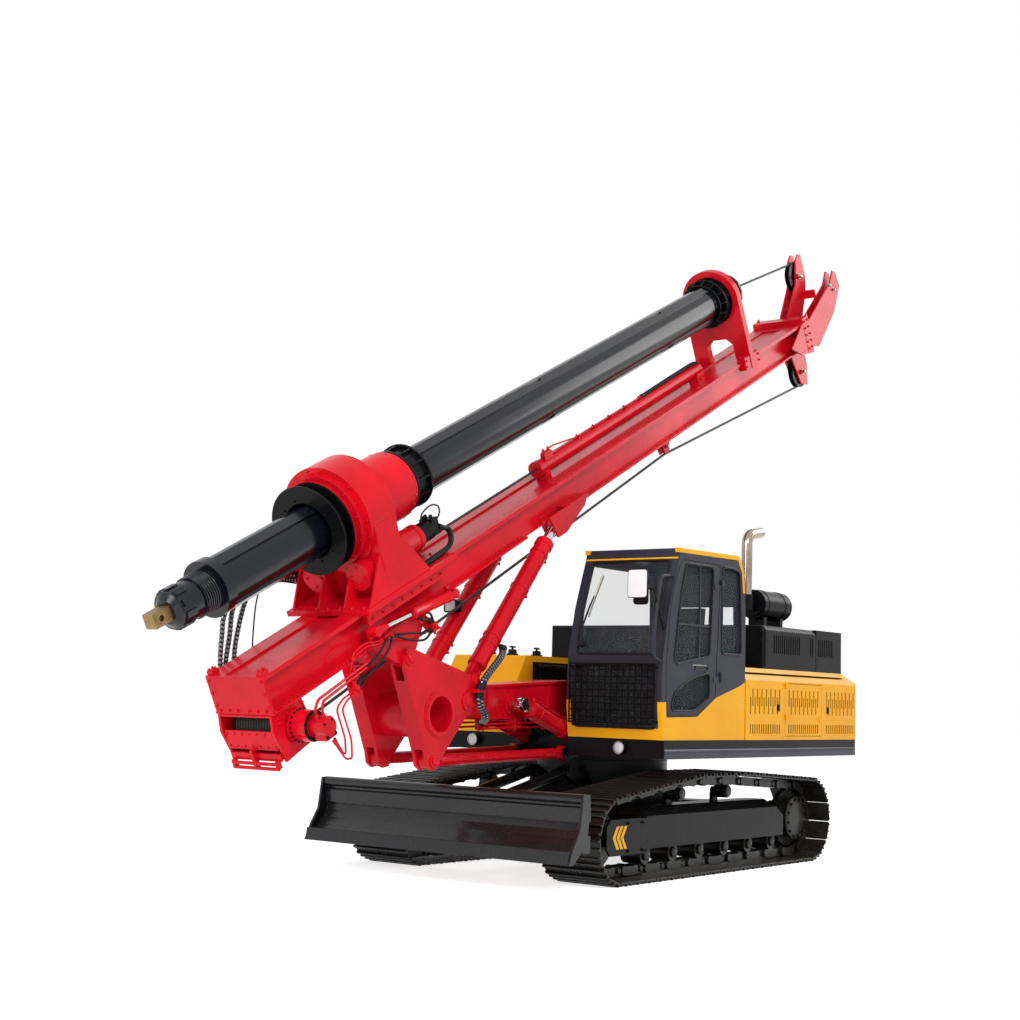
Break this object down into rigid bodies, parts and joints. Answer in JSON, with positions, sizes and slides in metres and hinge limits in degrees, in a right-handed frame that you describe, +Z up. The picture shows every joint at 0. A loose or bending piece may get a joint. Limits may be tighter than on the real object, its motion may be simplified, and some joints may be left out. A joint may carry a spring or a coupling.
{
  "type": "rotary piling rig",
  "caption": "Crawler foundation rig: slewing cab base, boom linkage, leaning mast with rotary drive, ribbed drill bar, winch and sheaves; front blade.",
  "frame": {"origin": "on the ground, under the middle of the overall length and width", "axes": "+X forward, +Y to the left (the cab side), +Z up"},
  "size_m": [10.5778, 2.912, 7.0727],
  "materials": {
    "red_paint": "gloss",
    "yellow_paint": "gloss",
    "black_paint": "satin",
    "charcoal_paint": "satin",
    "track_steel": "satin",
    "bar_steel": "satin",
    "stub_steel": "satin",
    "chrome_rod": "polished",
    "pin_steel": "satin",
    "exhaust_metal": "polished",
    "window_glass": "gloss",
    "seat_fabric": "matt",
    "trim_plastic": "matt",
    "blade_paint": "satin",
    "orange_paint": "gloss"
  },
  "bodies": {
    "undercarriage": {"track_frame": "black_paint", "track_left": "track_steel", "track_right": "track_steel", "track_wheels": "track_steel"},
    "blade": {"blade": "blade_paint", "blade_arms": "orange_paint"},
    "blade_barrels": {"blade_cylinder_barrels": "black_paint"},
    "blade_rods": {"blade_cylinder_rods": "chrome_rod"},
    "upper": {"upper_deck": "black_paint", "house_body": "yellow_paint", "counterweight": "yellow_paint", "engine_block": "black_paint", "hood_front": "black_paint", "muffler": "black_paint", "exhaust_stack": "exhaust_metal", "tank_box": "yellow_paint", "grille_box": "black_paint", "cab_base": "yellow_paint", "cab_left": "charcoal_paint", "cab_right": "charcoal_paint", "cab_front": "charcoal_paint", "cab_rear": "charcoal_paint", "cab_roof": "charcoal_paint", "roof_band": "yellow_paint", "cab_glass": "window_glass", "cab_seat": "seat_fabric", "cab_consoles": "trim_plastic", "cab_trim": "black_paint", "deck_lamps": "black_paint"},
    "cab_door": {"cab_door": "charcoal_paint", "door_glass": "window_glass"},
    "side_door_left": {"side_door_left": "yellow_paint"},
    "side_door_right": {"side_door_right": "yellow_paint"},
    "hood_lid": {"hood_lid": "black_paint"},
    "boom": {"boom": "red_paint"},
    "tie_rods": {"tie_rods": "red_paint"},
    "luff_barrels": {"luff_cylinder_barrels": "red_paint"},
    "luff_rods": {"luff_cylinder_rods": "chrome_rod"},
    "bracket": {"bracket": "red_paint"},
    "tilt_barrels": {"tilt_cylinder_barrels": "red_paint", "work_lamp": "black_paint"},
    "tilt_rods": {"tilt_cylinder_rods": "chrome_rod"},
    "mast": {"mast": "red_paint", "mast_head": "red_paint", "winch_frame": "red_paint", "crowd_barrel": "red_paint"},
    "winch_drum": {"winch_drum": "track_steel"},
    "head_sheave": {"head_sheave": "black_paint"},
    "rear_sheave": {"rear_sheave": "black_paint"},
    "drive": {"rotary_drive": "red_paint", "drive_motors": "black_paint", "crowd_rod": "chrome_rod"},
    "sleeve": {"drive_sleeve": "black_paint"},
    "guide": {"guide_frame": "red_paint", "bearing_ring": "black_paint"},
    "bar_outer": {"drill_bar_outer": "bar_steel"},
    "bar_inner": {"drill_bar_inner": "bar_steel", "bar_spring": "bar_steel", "bar_stub": "stub_steel", "rope_swivel": "pin_steel"}
  },
  "joints": [
    {"name": "slew", "type": "hinge", "parent": "undercarriage", "child": "upper", "pos_m": [-0.61203, 0, 1], "axis": [0, 0, 1], "continuous": true},
    {"name": "blade_lower", "type": "hinge", "parent": "undercarriage", "child": "blade", "pos_m": [0.14797, 0, 0.56], "axis": [0, 1, 0], "range_deg": [0, 15]},
    {"name": "blade_cylinder_turn", "type": "hinge", "parent": "undercarriage", "child": "blade_barrels", "pos_m": [0.28797, 0, 0.9], "axis": [0, 1, 0], "range_deg": [-0.5, 15.81]},
    {"name": "blade_cylinder_stroke", "type": "slide", "parent": "blade_barrels", "child": "blade_rods", "axis": [0.9776, 0, -0.2106], "range_m": [-0.002, 0.0978]},
    {"name": "cab_door_swing", "type": "hinge", "parent": "upper", "child": "cab_door", "pos_m": [-0.43703, 1.418, 2], "axis": [0, 0, 1], "range_deg": [0, 170]},
    {"name": "side_door_left_swing", "type": "hinge", "parent": "upper", "child": "side_door_left", "pos_m": [-1.75603, 1.4245, 1.5], "axis": [0, 0, -1], "range_deg": [0, 100]},
    {"name": "side_door_right_swing", "type": "hinge", "parent": "upper", "child": "side_door_right", "pos_m": [-1.75603, -1.4245, 1.5], "axis": [0, 0, 1], "range_deg": [0, 100]},
    {"name": "hood_lift", "type": "hinge", "parent": "upper", "child": "hood_lid", "pos_m": [-2.65703, 0, 2.375], "axis": [0, 1, 0], "range_deg": [0, 60]},
    {"name": "boom_luff", "type": "hinge", "parent": "upper", "child": "boom", "pos_m": [0.03797, 0, 1.57], "axis": [0, 1, 0], "range_deg": [-35, 6]},
    {"name": "tie_rod_turn", "type": "hinge", "parent": "upper", "child": "tie_rods", "pos_m": [0.46797, 0, 1.07], "axis": [0, 1, 0], "range_deg": [-35.5, 6.5]},
    {"name": "luff_cylinder_turn", "type": "hinge", "parent": "upper", "child": "luff_barrels", "pos_m": [0.24797, 0, 1.2], "axis": [0, 1, 0], "range_deg": [-35.1, 6.43]},
    {"name": "luff_cylinder_stroke", "type": "slide", "parent": "luff_barrels", "child": "luff_rods", "axis": [0.9487, 0, 0.3162], "range_m": [-0.046, 0.2589]},
    {"name": "bracket_level", "type": "hinge", "parent": "boom", "child": "bracket", "pos_m": [2.00797, 0, 1.52], "axis": [0, 1, 0], "range_deg": [-6.5, 35.5]},
    {"name": "tilt_cylinder_turn", "type": "hinge", "parent": "bracket", "child": "tilt_barrels", "pos_m": [1.91797, 0, 1.7], "axis": [0, 1, 0], "range_deg": [-5.62, 70.19]},
    {"name": "tilt_cylinder_stroke", "type": "slide", "parent": "tilt_barrels", "child": "tilt_rods", "axis": [-0.6422, 0, 0.7665], "range_m": [-0.0759, 1.0072]},
    {"name": "mast_raise", "type": "hinge", "parent": "bracket", "child": "mast", "pos_m": [2.78797, 0, 1.86], "axis": [0, 1, 0], "range_deg": [-5, 68]},
    {"name": "winch_drum_turn", "type": "hinge", "parent": "mast", "child": "winch_drum", "pos_m": [4.017, 0, 1.31123], "axis": [0, 1, 0], "continuous": true},
    {"name": "head_sheave_turn", "type": "hinge", "parent": "mast", "child": "head_sheave", "pos_m": [-4.62696, 0, 6.78826], "axis": [0, 1, 0], "continuous": true},
    {"name": "rear_sheave_turn", "type": "hinge", "parent": "mast", "child": "rear_sheave", "pos_m": [-4.74072, 0, 5.62204], "axis": [0, 1, 0], "continuous": true},
    {"name": "drive_feed", "type": "slide", "parent": "mast", "child": "drive", "axis": [0.8902, 0, -0.4555], "range_m": [-1.6, 0.9]},
    {"name": "drive_turn", "type": "hinge", "parent": "drive", "child": "sleeve", "pos_m": [3.5301, 0, 2.90614], "axis": [0.8902, 0, -0.4555], "continuous": true},
    {"name": "guide_travel", "type": "slide", "parent": "mast", "child": "guide", "axis": [0.8902, 0, -0.4555], "range_m": [0, 5.4]},
    {"name": "bar_turn", "type": "hinge", "parent": "guide", "child": "bar_outer", "pos_m": [-2.59456, 0, 6.04029], "axis": [0.8902, 0, -0.4555], "continuous": true},
    {"name": "inner_bar_travel", "type": "slide", "parent": "bar_outer", "child": "bar_inner", "axis": [0.8902, 0, -0.4555], "range_m": [0, 7]}
  ],
  "couplings": [
    {"joint": "blade_cylinder_turn", "follows": "blade_lower", "ratio": 1.0209},
    {"joint": "blade_cylinder_stroke", "follows": "blade_lower", "m_per_rad": 0.36583},
    {"joint": "tie_rod_turn", "follows": "boom_luff", "ratio": 1},
    {"joint": "bracket_level", "follows": "boom_luff", "ratio": -1},
    {"joint": "luff_cylinder_turn", "follows": "boom_luff", "ratio": 0.98848},
    {"joint": "luff_cylinder_stroke", "follows": "boom_luff", "m_per_rad": -0.42051},
    {"joint": "tilt_cylinder_turn", "follows": "mast_raise", "ratio": 1.0248},
    {"joint": "tilt_cylinder_stroke", "follows": "mast_raise", "m_per_rad": 0.84699},
    {"joint": "bar_turn", "follows": "drive_turn", "ratio": 1}
  ]
}
